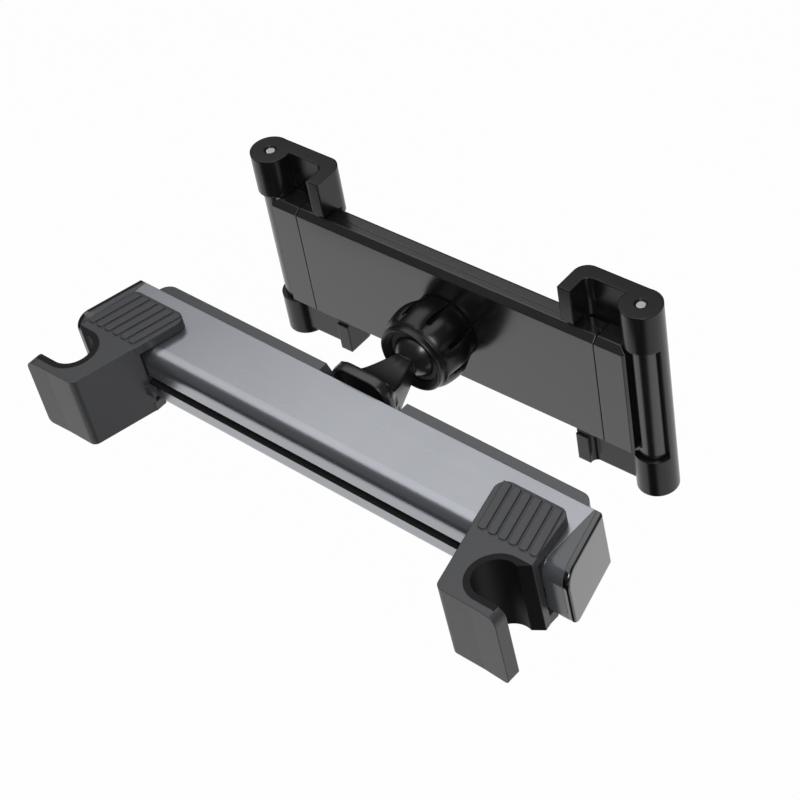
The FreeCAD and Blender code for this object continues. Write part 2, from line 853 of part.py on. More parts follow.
    # Rubber liner: a ring open to the outside, running on along the finger
    liner_ring = rod(f"{word}_liner_ring", ring, grip * 2, post * side, 0, -grip)
    liner_flat = box(f"{word}_liner_flat", sided(post, post + size.liner_flat),
                     (-ring, -size.post_grip_radius), (-grip, grip))
    liner_bore = rod(f"{word}_liner_bore", size.post_grip_radius, grip * 2 + 2,
                     post * side, 0, -grip - 1)
    liner_horn = box(f"{word}_liner_horn", sided(post, out_front), (0, ring), (-grip, grip))
    liner_mouth = padded(f"{word}_liner_mouth", "xy", mirrored([
        (post, -size.post_grip_radius),
        (post + ring + 1, -size.post_grip_radius),
        (post + ring + 1, ring),
        (out_front, ring - 0.1),
        (post + size.liner_mouth_rear * 0.3, size.liner_mouth_rear),
        (post, size.liner_mouth_rear),
    ]), -grip - 1, grip * 2 + 2)
    liner_side = box(f"{word}_liner_side", sided(out_front, post + ring + 1),
                     (0, ring + 1), (-grip - 1, grip + 1))
    keep(f"{word}_hook_liner", cut(f"{word}_liner",
                                   fuse(f"{word}_liner_solid", liner_ring, liner_flat,
                                        liner_horn),
                                   liner_bore, liner_mouth, liner_side))

    # Slider in the bar, with a groove for the web and a lug for the return spring
    slider_back = slider_front + size.slider_depth
    slider_low = slot_mid - size.slider_half_height
    slider_high = slot_mid + size.slider_half_height
    slider_block = box(f"{word}_slider_block", sided(slider_in, slider_out),
                       (slider_front, slider_back), (slider_low, slider_high))
    spring_y = (slider_back + bar_rear - wall) / 2
    lug = box(f"{word}_slider_lug", sided(slider_in, slider_in + size.slider_lug),
              (slider_back - 1, bar_rear - wall - 1), (slot_mid - 2, slot_mid + 2))
    groove_gap = screw_gap
    groove = box(f"{word}_slider_groove",
                 sided(slider_in + web_inset - groove_gap, slider_out - web_inset + groove_gap),
                 (slider_front - 1, slider_front + size.web_reach + groove_gap),
                 (slot_mid - web_half - groove_gap, slot_mid + web_half + groove_gap))
    keep(f"{word}_slider", cut(f"{word}_slider_moulding",
                               fuse(f"{word}_slider_solid", slider_block, lug), groove, *rooms))
    spring_start = slider_in + size.slider_lug + clearance
    spring_length = size.shell_half - size.cap_plug - spring_start - clearance
    spring_x = spring_start if side > 0 else -spring_start - spring_length
    keep(f"{word}_hook_spring", spring(f"{word}_bar_coil", size.spring_radius, size.spring_wire,
                                       size.spring_turns, spring_length, spring_x, spring_y,
                                       slot_mid))


# Cradle side, modelled round the ball centre and tilted into place at the end

centre = FreeCAD.Vector(0, ball_y.value, arm_z.value)
tilt = FreeCAD.Rotation(values["cradle_yaw"], values["cradle_roll"], values["cradle_pitch"])
cradle = FreeCAD.Placement(centre, tilt)
cover_back = size.cover_gap
cover_front = cover_back + size.cover_thickness
split = cover_back + size.cover_split
cover_half = size.cover_half
height = size.cover_half_height
skin = size.cover_wall
seat = size.ball_radius + size.seat_clearance
cup_out = seat + size.cup_wall
ring_in = cup_out + size.seat_clearance
ring_out = ring_in + size.ring_wall
socket_in = ring_out + size.seat_clearance
socket_out = socket_in + size.collet_wall
bore = socket_out + size.nut_clearance


def follow(piece):
    """Place a cradle piece with formulas, so that it moves when the arm's sizes change."""
    piece.Placement = cradle
    piece.setExpression(".Placement.Base.y", ball_y.formula)
    piece.setExpression(".Placement.Base.z", arm_z.formula)
    return piece


def keep_tilted(label, piece):
    """Name a cradle piece; one that already stands at a place is held in a group first."""
    if piece.TypeId in ("Part::Cylinder", "Part::Sweep"):
        group = doc.addObject("Part::Compound", f"{label}_group")
        group.Links = [piece]
        piece = group
    keep(label, piece)
    return follow(piece)


def trim(name, start, end, radius=30.0):
    """A thick disc across Y that keeps one stretch of a shell of revolution."""
    return rod(name, radius, as_size(end) - start, 0, start, 0, "y")


# Two seats between ball and socket, one for each tilt of the joint
cup_shell = cut("cup_shell", ball("cup_outside", cup_out, 0, 0, 0), ball("cup_inside", seat, 0, 0, 0))
keep_tilted("rear_ball_cup", overlap("cup_part", cup_shell, trim("cup_stretch", 4.4, 9.5)))
ring_shell = cut("ring_shell", ball("ring_outside", ring_out, 0, 0, 0),
                 ball("ring_inside", ring_in, 0, 0, 0))
keep_tilted("front_ball_ring", overlap("ring_part", ring_shell, trim("ring_stretch", 2.2, 7.0)))

# Ball socket: a cup whose lip holds the ball, with a flange kept inside the cover
lip_start = -size.collet_lip
lip_end = lip_start * 0.25
flange_start = cover_back + skin + 0.05
flange_end = flange_start + size.collet_flange_thickness
socket_blank = fuse(
    "socket_blank",
    rod("socket_barrel", socket_out, flange_end - lip_start, 0, lip_start, 0, "y"),
    rod("socket_flange", size.collet_flange_radius, size.collet_flange_thickness,
        0, flange_start, 0, "y"),
)
lip_hollow = overlap("lip_hollow", ball("lip_ball", seat, 0, 0, 0),
                     trim("lip_stretch", lip_start - 1, lip_end))
seat_hollow = overlap("seat_hollow", ball("seat_ball", socket_in, 0, 0, 0),
                      trim("seat_stretch", lip_end - 0.01, socket_in + 1))
keep_tilted("ball_socket", cut("socket", socket_blank, lip_hollow, seat_hollow))

# Collar nut: a bulged sleeve with grooves for the fingers
nut_end = cover_back - size.nut_back_gap
nut_start = -size.nut_front
nut_inner = nut_start + size.nut_lip_thickness
nut_sleeve = turned("nut_sleeve", [
    (size.nut_opening + 0.4, nut_start),
    (size.nut_lip_radius, nut_start),
    (size.nut_lip_radius + 0.8, nut_start + 0.6),
    (size.nut_lip_radius + 1.0, nut_start + 2.2),
    (size.nut_radius * 0.915, nut_start + 3.2),
    (size.nut_radius * 0.955, nut_start + 4.6),
    (size.nut_radius * 0.985, nut_start + 6.6),
    (size.nut_radius, nut_start + 8.6),
    (size.nut_radius * 0.995, nut_start + 10.4),
    (size.nut_radius * 0.965, nut_start + 12.2),
    (size.nut_radius * 0.915, nut_start + 14.0),
    (size.nut_radius * 0.86, nut_start + 15.8),
    (size.nut_radius * 0.845, nut_end),
    (bore, nut_end),
    (bore, nut_inner),
    (size.nut_opening, nut_inner - 0.4),
    (size.nut_opening, nut_start + 0.4),
])
flutes = []
for number in range(int(size.nut_grip_count.value)):
    angle = math.radians(360.0 * number / size.nut_grip_count.value + 19.0)
    reach = size.nut_radius + size.nut_flute_out
    flute = rod(f"nut_flute_{number + 1}", size.nut_flute_radius, nut_end - nut_start + 2,
                reach * math.cos(angle), nut_start - 1 + size.nut_flute_start,
                reach * math.sin(angle), "y")
    flutes.append(flute)
keep_tilted("collar_nut", cut("nut", nut_sleeve, *flutes))

# Rear cover: a tray, open at both ends for the slides
rear_tray = padded(
    "rear_tray",
    "yz",
    [
        (cover_back, -height + size.cover_bevel_down),
        (cover_back + size.cover_bevel_back, -height),
        (split, -height),
        (split, -height + skin),
        (cover_back + skin, -height + skin),
        (cover_back + skin, height - skin),
        (split, height - skin),
        (split, height),
        (cover_back + size.cover_bevel_back, height),
        (cover_back, height - size.cover_bevel_down),
    ],
    -cover_half,
    cover_half * 2,
)
socket_hole = rod("cover_socket_hole", socket_out + screw_gap, skin + 2, 0, cover_back - 1, 0, "y")
boss_spots = [(x, z) for x in (-1, 1) for z in (-1, 1)]
bosses = []
front_bosses = []
cover_rooms = []
cover_screws = []
head_y = cover_front - size.cover_screw_sink
cover_screw_length = head_y - size.screw_head_height - cover_back - skin * 0.6
for number, (x_side, z_side) in enumerate(boss_spots, start=1):
    x = size.cover_screw_x * x_side
    z = (height - skin - size.cover_boss_radius + 0.6) * z_side
    bosses.append(rod(f"cover_boss_{number}", size.cover_boss_radius, split - cover_back - 1,
                      x, cover_back + 1, z, "y"))
    front_bosses.append(rod(f"front_boss_{number}", size.cover_boss_radius,
                            cover_front - 1 - split, x, split, z, "y"))
    spot = (x, head_y, z)
    cover_rooms.append(screw_room(f"cover_screw_room_{number}", *spot, cover_screw_length,
                                  "y", False, size.cover_screw_sink + 0.2))
    cover_screws.append(screw_along(f"cover_screw_{number}", *spot, cover_screw_length, "y", False))
pegs = []
for side in (-1, 1):
    pegs.append(rod(f"spring_peg_{side + 2}", size.post_peg_radius, split - cover_back - 1,
                    size.cover_peg_x * side, cover_back + 1, 0, "y"))
socket_pocket = rod("cover_flange_room", size.collet_flange_radius + screw_gap,
                    size.collet_flange_thickness + 0.1, 0, cover_back + skin, 0, "y")
pegs_clear = cut("spring_pegs", fuse("spring_peg_pair", *pegs), socket_pocket)
keep_tilted("rear_cover", cut("rear_cover_tray",
                              fuse("rear_cover_solid",
                                   cut("rear_tray_open", rear_tray, socket_hole),
                                   pegs_clear, *bosses), *cover_rooms))

# Front cover with a few fine ribs along its top, and the pad the tablet leans on
front_tray = padded(
    "front_tray",
    "yz",
    [
        (split, -height),
        (cover_front, -height),
        (cover_front, height),
        (split, height),
        (split, height - skin),
        (cover_front - skin, height - skin),
        (cover_front - skin, -height + skin),
        (split, -height + skin),
    ],
    -cover_half,
    cover_half * 2,
)
round_body(front_tray, "front_tray_rounding", 1.0,
           lambda edge, middle, along: abs(along.x) > 0.99 and near(middle.y, cover_front))
keep_tilted("front_cover", cut("front_cover_tray", fuse("front_cover_solid", front_tray,
                                                       *front_bosses), *cover_rooms))
keep_tilted("cover_screws", fuse("cover_screw_set", *cover_screws))
pad_blank = box("pad_blank", (-size.pad_half, size.pad_half),
                (cover_front, cover_front + size.pad_thickness),
                (-size.pad_half_height, size.pad_half_height))
pad_round = round_edges("tablet_pad_round", pad_blank, 4.0, straight_along("y"))
keep_tilted("tablet_pad", pad_round)

for side, word in ((-1, "left"), (1, "right")):
    def sided(near_end, far_end, s=side):
        return (near_end, far_end) if s > 0 else (-as_size(far_end), -as_size(near_end))

    def mirrored(points, s=side):
        return [(as_size(x) * s, y) for x, y in points]

    # Slide: the end of the cradle on a flat tongue that runs between the covers
    seam_x = cover_half + size.slide_seam
    slide_half = seam_x + size.slide_width
    pin_x = slide_half + size.hinge_out
    pin_y = cover_back + size.hinge_depth
    slide_section = padded(
        f"{word}_slide_section",
        "yz",
        [
            (cover_back, -height + size.cover_bevel_down),
            (cover_back + size.cover_bevel_back, -height),
            (cover_front, -height),
            (cover_front, height),
            (cover_back + size.cover_bevel_back, height),
            (cover_back, height - size.cover_bevel_down),
        ],
        seam_x if side > 0 else -slide_half,
        slide_half - seam_x,
    )
    bevel = size.slide_bevel
    slide_bevel = padded(f"{word}_slide_bevel", "xy", mirrored([
        (slide_half - bevel, cover_back),
        (slide_half, cover_back + bevel),
        (slide_half + 1, cover_back + bevel),
        (slide_half + 1, cover_back - 1),
        (slide_half - bevel, cover_back - 1),
    ]), -height - 1, height * 2 + 2)
    relief = rod(f"{word}_slide_relief", size.hook_radius + clearance, height * 2 + 2,
                 pin_x * side, pin_y, -height - 1)
    core = size.hook_radius - size.spine_wall - size.knuckle_clearance
    knuckle = rod(f"{word}_knuckle", core, height * 2 - 0.2, pin_x * side, pin_y, -height + 0.1)
    neck = box(f"{word}_knuckle_neck", sided(pin_x - size.hook_radius - 3, pin_x - 1),
               (pin_y - core * 0.86, pin_y + core * 0.62), (-height + 0.1, height - 0.1))
    tongue_middle = cover_back + size.cover_thickness / 2
    tongue_wide = height - skin - size.cover_boss_radius * 2 - clearance - 0.5
    tongue = box(f"{word}_slide_tongue",
                 sided(size.tongue_start, seam_x + 1),
                 (tongue_middle - size.tongue_half_thickness,
                  tongue_middle + size.tongue_half_thickness),
                 (-tongue_wide, tongue_wide))
    channel_end = size.tongue_start + size.slide_channel
    channel = box(f"{word}_slide_channel", sided(size.tongue_start - 1, channel_end),
                  (cover_back, cover_front), (-size.slide_slot_half, size.slide_slot_half))
    nose = box(f"{word}_slide_nose", sided(channel_end - 1.6, channel_end + 1),
               (tongue_middle - 1.0, tongue_middle + 1.0), (-1.0, 1.0))
    tongue_cut = fuse(f"{word}_tongue_nosed", cut(f"{word}_tongue_open", tongue, channel), nose)
    pin_bore = rod(f"{word}_pin_bore", size.pin_radius + size.running_clearance, height * 2 + 4,
                   pin_x * side, pin_y, -height - 2)
    keep_tilted(f"{word}_slide", cut(f"{word}_slide_moulding",
                                     fuse(f"{word}_slide_solid",
                                          cut(f"{word}_slide_end", slide_section, relief, slide_bevel),
                                          knuckle, neck, tongue_cut),
                                     pin_bore))
    coil_start = size.cover_peg_x + size.post_peg_radius + clearance
    coil_length = channel_end - 1.6 - clearance - coil_start
    coil_x = coil_start if side > 0 else -coil_start - coil_length
    keep_tilted(f"{word}_slide_spring", spring(f"{word}_cradle_coil", size.slide_spring_radius,
                                               size.slide_spring_wire, size.slide_spring_turns,
                                               coil_length, coil_x, tongue_middle, 0))

    # Folding hook: two cylinders and two J arms joined by a curved spine over the knuckle
    radius = size.hook_radius
    top = size.hook_half_height
    gap_z = height + clearance
    pin_hole = rod(f"{word}_hook_pin_hole", size.pin_radius, top * 2 + 2,
                   pin_x * side, pin_y, -top - 1)
    outward = FreeCAD.Rotation(FreeCAD.Vector(0, 0, 1), 0 if side > 0 else 180)
    head_room = rod(f"{word}_hook_core", radius - size.spine_wall, gap_z * 2,
                    pin_x * side, pin_y, -gap_z, turn=outward)
    cylinders = rod(f"{word}_hook_cylinders", radius, top * 2,
                    pin_x * side, pin_y, -top, turn=outward)
    window = padded(
        f"{word}_hook_window",
        "xy",
        mirrored([
            (pin_x, pin_y),
            (pin_x + 14, pin_y - 14 * size.window_slope),
            (pin_x + 14, pin_y - 16),
            (pin_x - 16, pin_y - 16),
            (pin_x - 16, pin_y + 16),
            (pin_x - 16 * size.window_back_slope, pin_y + 16),
        ]),
        -gap_z,
        gap_z * 2,
    )
    recess_top = rod(f"{word}_pin_recess_top", size.pin_radius + 0.5, size.pin_recess + 1,
                     pin_x * side, pin_y, top - size.pin_recess)
    arms = []
    for level, low, high in (("upper", gap_z, top), ("lower", -size.hook_lower_end, -gap_z)):
        arm_out = cover_back + size.arm_front
        wall_deep = size.hook_arm_wall if level == "upper" else size.hook_lower_wall
        arm_in = arm_out - wall_deep
        inside = size.hook_inner_corner * (1.0 if level == "upper" else 0.7)
        tip_x = pin_x - size.hook_reach
        arm = padded(
            f"{word}_{level}_arm",
            "xy",
            mirrored([
                (pin_x, arm_in),
                (pin_x, arm_out),
                (tip_x, arm_out),
                (tip_x, arm_out - size.hook_return_depth),
                (tip_x + size.hook_return_wall, arm_out - size.hook_return_depth),
                (tip_x + size.hook_return_wall, arm_in),
            ]),
            low,
            high - low,
        )
        round_body(arm, f"{word}_{level}_arm_corner", size.hook_corner,
                   lambda edge, middle, along: abs(along.z) > 0.99
                   and near(abs(middle.x), tip_x) and near(middle.y, arm_out))
        round_body(arm, f"{word}_{level}_arm_inside", inside,
                   lambda edge, middle, along: abs(along.z) > 0.99
                   and near(abs(middle.x), tip_x + size.hook_return_wall)
                   and near(middle.y, arm_in))
        tip_end = high - size.hook_tip_lift if level == "lower" else low
        tip_room = box(f"{word}_{level}_tip_room",
                       sided(tip_x - 1, tip_x + size.hook_return_wall + 0.5),
                       (arm_out - size.hook_return_depth - 1, arm_in - inside),
                       (tip_end, tip_end + size.hook_tip_lift))
        arms.append(cut(f"{word}_{level}_arm_raised", arm, tip_room))
    wall_in = cover_back + size.arm_front - size.hook_arm_wall
    skirt_end = pin_x - radius - 3.6
    skirt = padded(f"{word}_arm_skirt", "xy", mirrored([
        (tip_x, wall_in),
        (tip_x, arm_out),
        (skirt_end, arm_out),
        (skirt_end, wall_in),
    ]), gap_z - size.hook_skirt, size.hook_skirt + 1)
    round_body(skirt, f"{word}_arm_skirt_corner", size.hook_corner,
               lambda edge, middle, along: abs(along.z) > 0.99
               and near(abs(middle.x), tip_x) and near(middle.y, arm_out))
    arms.append(skirt)
    keep_tilted(f"{word}_folding_hook",
                cut(f"{word}_hook_body",
                    fuse(f"{word}_hook_whole",
                         cut(f"{word}_hook_open", cylinders, head_room, window), *arms),
                    pin_hole, recess_top))
    keep_tilted(f"{word}_hinge_pin",
                rod(f"{word}_pin", size.pin_radius, top * 2 - size.pin_recess - 1,
                    pin_x * side, pin_y, -top + 1))


# Check every piece, then write them out

doc.recompute()
for item in doc.Objects:
    state = " ".join(item.State)
    if "Invalid" in state or "Error" in state:
        bad = [part.Name for part in item.OutList if "Invalid" in part.State]
        raise ValueError(f"{item.Name} is {state}: {item.getStatusString()}, fed by {bad}")
for label, piece in pieces.items():
    shape = piece.Shape
    if shape.isNull() or not shape.isValid() or shape.Volume < 0.5:
        raise ValueError(f"{label} has no sound shape")
    shape.exportStep(f"parts/{label}.step")
print("pieces", len(pieces))
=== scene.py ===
import bpy
import math
from mathutils import Matrix, Vector


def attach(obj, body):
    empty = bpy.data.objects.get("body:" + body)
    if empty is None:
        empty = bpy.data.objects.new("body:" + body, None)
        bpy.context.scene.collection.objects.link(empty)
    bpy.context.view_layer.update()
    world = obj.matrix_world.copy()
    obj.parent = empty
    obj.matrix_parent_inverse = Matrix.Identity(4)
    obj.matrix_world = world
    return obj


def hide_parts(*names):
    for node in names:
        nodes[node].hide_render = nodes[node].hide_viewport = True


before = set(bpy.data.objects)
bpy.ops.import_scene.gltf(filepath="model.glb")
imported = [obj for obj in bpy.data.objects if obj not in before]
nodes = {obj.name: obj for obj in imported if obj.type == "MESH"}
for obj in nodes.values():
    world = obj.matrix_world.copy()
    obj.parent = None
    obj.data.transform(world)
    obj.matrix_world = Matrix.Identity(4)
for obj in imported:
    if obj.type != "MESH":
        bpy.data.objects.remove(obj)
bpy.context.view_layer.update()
bpy.ops.object.select_all(action="DESELECT")

# Studio: a pale floor well below the mount, which hangs on the headrest posts in use.
# To the camera and in reflections the floor and the air are white, as in a catalogue
# photograph; a large soft lamp hangs over the bar and a small one stands beside the cradle.
bpy.context.scene.view_settings.view_transform = "Standard"
bpy.ops.mesh.primitive_plane_add(size=6, location=(0, 0, -0.26))
floor = bpy.context.object
floor.name = "studio_floor"
paper = bpy.data.materials.new("studio_paper")
paper.use_nodes = True
tree = paper.node_tree
tree.nodes.clear()
white_to_camera = 0.975
white_to_gloss = 0.95
sheen = tree.nodes.new("ShaderNodeBsdfDiffuse")
sheen.inputs["Color"].default_value = (0.86, 0.86, 0.86, 1)
white = tree.nodes.new("ShaderNodeEmission")
white.inputs["Color"].default_value = (1, 1, 1, 1)
ray = tree.nodes.new("ShaderNodeLightPath")
seen = tree.nodes.new("ShaderNodeMath")
seen.operation = "MULTIPLY_ADD"
seen.inputs[1].default_value = white_to_camera
mirrored = tree.nodes.new("ShaderNodeMath")
mirrored.operation = "MAXIMUM"
tree.links.new(ray.outputs["Is Glossy Ray"], mirrored.inputs[0])
tree.links.new(ray.outputs["Is Transmission Ray"], mirrored.inputs[1])
gloss = tree.nodes.new("ShaderNodeMath")
gloss.operation = "MULTIPLY"
gloss.inputs[1].default_value = white_to_gloss
tree.links.new(mirrored.outputs[0], gloss.inputs[0])
tree.links.new(gloss.outputs[0], seen.inputs[2])
blend = tree.nodes.new("ShaderNodeMixShader")
result = tree.nodes.new("ShaderNodeOutputMaterial")
tree.links.new(ray.outputs["Is Camera Ray"], seen.inputs[0])
tree.links.new(seen.outputs[0], blend.inputs["Fac"])
tree.links.new(sheen.outputs[0], blend.inputs[1])
tree.links.new(white.outputs[0], blend.inputs[2])
tree.links.new(blend.outputs[0], result.inputs["Surface"])
floor.data.materials.append(paper)

air = bpy.data.worlds.new("studio_air")
bpy.context.scene.world = air
air.use_nodes = True
tree = air.node_tree
tree.nodes.clear()
dim = tree.nodes.new("ShaderNodeBackground")
dim.inputs["Color"].default_value = (0.95, 0.97, 1.0, 1)
dim.inputs["Strength"].default_value = 0.11
bright = tree.nodes.new("ShaderNodeBackground")
bright.inputs["Color"].default_value = (1, 1, 1, 1)
bright.inputs["Strength"].default_value = 1.0
ray = tree.nodes.new("ShaderNodeLightPath")
blend = tree.nodes.new("ShaderNodeMixShader")
result = tree.nodes.new("ShaderNodeOutputWorld")
tree.links.new(ray.outputs["Is Camera Ray"], blend.inputs["Fac"])
tree.links.new(dim.outputs[0], blend.inputs[1])
tree.links.new(bright.outputs[0], blend.inputs[2])
tree.links.new(blend.outputs[0], result.inputs["Surface"])


def soft_lamp(name, place, target, size, watts):
    """A rectangular lamp at a place, facing a target, both in metres."""
    bpy.ops.object.light_add(type="AREA", location=place)
    lamp = bpy.context.object
    lamp.name = name
    lamp.data.shape = "RECTANGLE"
    lamp.data.size = size[0]
    lamp.data.size_y = size[1]
    lamp.data.energy = watts
    aim = Vector(target) - Vector(place)
    lamp.rotation_euler = aim.to_track_quat("-Z", "Y").to_euler()


soft_lamp("lamp_overhead", (-0.36, 0.185, 1.0), (-0.36, 0.185, 0), (1.36, 1.35), 7.6)
soft_lamp("lamp_camera_side", (0.62, -0.42, 0.74), (0, 0.03, 0), (0.35, 0.35), 4.5)

# Black cards lie on the floor under the camera and in front of the bar, out of its sight. They
# show only in gloss, where they give rounded edges their dark streaks.
black = bpy.data.materials.new("black_card")
black.use_nodes = True
black.node_tree.nodes["Principled BSDF"].inputs["Base Color"].default_value = (0.01, 0.01, 0.01, 1)
black.node_tree.nodes["Principled BSDF"].inputs["Roughness"].default_value = 0.9


def card(name, x_span, y_span):
    """A card flat over the floor, seen only in reflections."""
    middle = ((x_span[0] + x_span[1]) / 2, (y_span[0] + y_span[1]) / 2, -0.255)
    bpy.ops.mesh.primitive_plane_add(size=1, location=middle)
    sheet = bpy.context.object
    sheet.name = name
    sheet.scale = (x_span[1] - x_span[0], y_span[1] - y_span[0], 1)
    sheet.visible_camera = False
    sheet.visible_diffuse = False
    sheet.visible_shadow = False
    sheet.data.materials.append(black)


card("card_below_camera", (0.02, 0.18), (-0.34, 0.06))
card("card_in_front", (-2.6, 0.02), (-2.9, -0.34))
card("card_at_right", (0.02, 1.6), (-2.9, -0.11))

camera_data = bpy.data.cameras.new("photo_camera")
camera_data.sensor_fit = "HORIZONTAL"
camera_data.sensor_width = 36.0
camera_data.lens = 108.0
camera_data.clip_start = 0.01
camera = bpy.data.objects.new("photo_camera", camera_data)
bpy.context.collection.objects.link(camera)
turn = Matrix((
    (0.7326, -0.3677, 0.5728),
    (0.6551, 0.6091, -0.4470),
    (-0.1845, 0.7027, 0.6871),
)).to_4x4()
camera.matrix_world = Matrix.Translation((0.43396, -0.28498, 0.51156)) @ turn
bpy.context.scene.camera = camera


# Bar shell: an extruded aluminium rail, anodised a cool grey, cut square at both ends.
# The die leaves faint lines along it, which show as streaks in the sheen.
def finish_of(name, colour, roughness, metal=0.0, grain=900.0, depth=0.02, along=1.0,
              spread=0.06, edge=0.0003, coat=0.0, ior=1.45):
    """A surface with fine grain, uneven roughness and slightly rounded edges."""
    finish = bpy.data.materials.new(name)
    finish.use_nodes = True
    tree = finish.node_tree
    body = tree.nodes["Principled BSDF"]
    body.inputs["Metallic"].default_value = metal
    body.inputs["Coat Weight"].default_value = coat
    body.inputs["IOR"].default_value = ior
    body.inputs["Coat Roughness"].default_value = 0.06
    place = tree.nodes.new("ShaderNodeTexCoord")
    stretch = tree.nodes.new("ShaderNodeMapping")
    stretch.inputs["Scale"].default_value = (along, 1, 1)
    fine = tree.nodes.new("ShaderNodeTexNoise")
    fine.inputs["Scale"].default_value = grain
    fine.inputs["Detail"].default_value = 3
    broad = tree.nodes.new("ShaderNodeTexNoise")
    broad.inputs["Scale"].default_value = 38
    broad.inputs["Detail"].default_value = 2
    tree.links.new(place.outputs["Object"], stretch.inputs["Vector"])
    tree.links.new(stretch.outputs["Vector"], fine.inputs["Vector"])
    tree.links.new(place.outputs["Object"], broad.inputs["Vector"])
    tint = tree.nodes.new("ShaderNodeMix")
    tint.data_type = "RGBA"
    tint.inputs["A"].default_value = [part * 0.93 for part in colour] + [1]
    tint.inputs["B"].default_value = [min(part * 1.07, 1) for part in colour] + [1]
    tree.links.new(broad.outputs["Fac"], tint.inputs["Factor"])
    tree.links.new(tint.outputs["Result"], body.inputs["Base Color"])
    rough = tree.nodes.new("ShaderNodeMapRange")
    rough.inputs["To Min"].default_value = roughness - spread
    rough.inputs["To Max"].default_value = roughness + spread
    tree.links.new(fine.outputs["Fac"], rough.inputs["Value"])
    tree.links.new(rough.outputs["Result"], body.inputs["Roughness"])
    rounded = tree.nodes.new("ShaderNodeBevel")
    rounded.samples = 6
    rounded.inputs["Radius"].default_value = edge
    bump = tree.nodes.new("ShaderNodeBump")
    bump.inputs["Strength"].default_value = 0.5
    bump.inputs["Distance"].default_value = depth * 0.001
    tree.links.new(fine.outputs["Fac"], bump.inputs["Height"])
    tree.links.new(rounded.outputs["Normal"], bump.inputs["Normal"])
    tree.links.new(bump.outputs["Normal"], body.inputs["Normal"])
    return finish


def dress(finish, *names):
    """Give CAD nodes a finish in place of the plain one they came with."""
    for name in names:
        mesh = nodes[name].data
        mesh.materials.clear()
        mesh.materials.append(finish)


def in_section(tree, limits):
    """A mask that is 1 where the section's y, z and z - y in metres lie within their limits."""
    place = tree.nodes.new("ShaderNodeTexCoord")
    part = tree.nodes.new("ShaderNodeSeparateXYZ")
    slant = tree.nodes.new("ShaderNodeMath")
    slant.operation = "SUBTRACT"
    tree.links.new(place.outputs["Object"], part.inputs[0])
    tree.links.new(part.outputs["Z"], slant.inputs[0])
    tree.links.new(part.outputs["Y"], slant.inputs[1])
    lengths = {"y": part.outputs["Y"], "z": part.outputs["Z"], "slant": slant.outputs[0]}
    mask = None
    for length, rule, limit in limits:
        test = tree.nodes.new("ShaderNodeMath")
        test.operation = rule
        test.inputs[1].default_value = limit
        tree.links.new(lengths[length], test.inputs[0])
        if mask is None:
            mask = test.outputs[0]
            continue
        both = tree.nodes.new("ShaderNodeMath")
        both.operation = "MULTIPLY"
        tree.links.new(mask, both.inputs[0])
        tree.links.new(test.outputs[0], both.inputs[1])
        mask = both.outputs[0]
    return mask


def paint_shade_black(finish, metal, *regions):
    """Paint matt black over the finish in some regions of the section, as painted shade in hollows
    and slots.
    """
    tree = finish.node_tree
    body = tree.nodes["Principled BSDF"]
    painted_shade_mask = tree.nodes.new("ShaderNodeMath")
    painted_shade_mask.operation = "MAXIMUM"
    for number, limits in enumerate(regions):
        tree.links.new(in_section(tree, limits), painted_shade_mask.inputs[number])
    colour = tree.nodes.new("ShaderNodeMix")
    colour.data_type = "RGBA"
    colour.inputs["B"].default_value = (0.004, 0.004, 0.004, 1)
    tree.links.new(painted_shade_mask.outputs[0], colour.inputs["Factor"])
    tree.links.new(body.inputs["Base Color"].links[0].from_socket, colour.inputs["A"])
    tree.links.new(colour.outputs["Result"], body.inputs["Base Color"])
    for socket, first, last in (("Metallic", metal, 0.0), ("Roughness", None, 0.85)):
        value = tree.nodes.new("ShaderNodeMapRange")
        value.inputs["To Max"].default_value = last
        if first is None:
            tree.links.new(body.inputs[socket].links[0].from_socket, value.inputs["To Min"])
        else:
            value.inputs["To Min"].default_value = first
        tree.links.new(painted_shade_mask.outputs[0], value.inputs["Value"])
        tree.links.new(value.outputs["Result"], body.inputs[socket])


anodised_metal = 0.92
anodised = finish_of("anodised_grey", (0.37, 0.381, 0.41), 0.28, metal=anodised_metal, grain=700,
                     depth=0.0012, along=0.02, spread=0.02, edge=0.00025)
# Painted shade: the inside of the shell and the walls of the front slot are painted matt black,
# where the hollow and the slot fall into shade.
shade_inside_shell = [
    ("y", "GREATER_THAN", 0.0131), ("y", "LESS_THAN", 0.0366), ("z", "GREATER_THAN", -0.0093),
    ("z", "LESS_THAN", 0.0096), ("slant", "LESS_THAN", -0.0075),
]
shade_in_slot = [
    ("y", "LESS_THAN", 0.0145), ("z", "GREATER_THAN", -0.0036), ("z", "LESS_THAN", 0.00088),
]
paint_shade_black(anodised, anodised_metal, shade_inside_shell, shade_in_slot)
dress(anodised, "bar_shell")

# End caps: moulded wedges in gloss charcoal plastic, their plugs pressed in the shell; the
# plate screwed on behind the bar is a shade darker. The plates glued on the caps' slanted faces
# are black and polished like piano lacquer.
gloss_charcoal = finish_of("gloss_charcoal", (0.076, 0.082, 0.090), 0.22, grain=1100,
                           depth=0.006, spread=0.04, edge=0.0003, ior=1.6)
dress(gloss_charcoal, "left_end_cap", "right_end_cap")
plate_charcoal = finish_of("plate_charcoal", (0.052, 0.055, 0.062), 0.24, grain=1100,
                           depth=0.006, spread=0.04, edge=0.0003, ior=1.6)
dress(plate_charcoal, "bar_rear_plate")
polished = finish_of("polished_black", (0.006, 0.006, 0.007), 0.09, grain=300, depth=0.002,
                     spread=0.02, edge=0.0005, coat=0.8, ior=1.55)
dress(polished, "left_end_plate", "right_end_plate")

# Post hooks: glass-filled nylon with a fine spark-eroded grain, in a dark charcoal.
# The sliders and the block inside the bar are the same material.
charcoal = finish_of("charcoal_nylon", (0.048, 0.049, 0.053), 0.4, grain=1600, depth=0.02,
                     spread=0.07, edge=0.0005, ior=1.55)
dress(charcoal, "left_post_hook", "right_post_hook", "left_slider", "right_slider",
      "bar_inner_block")

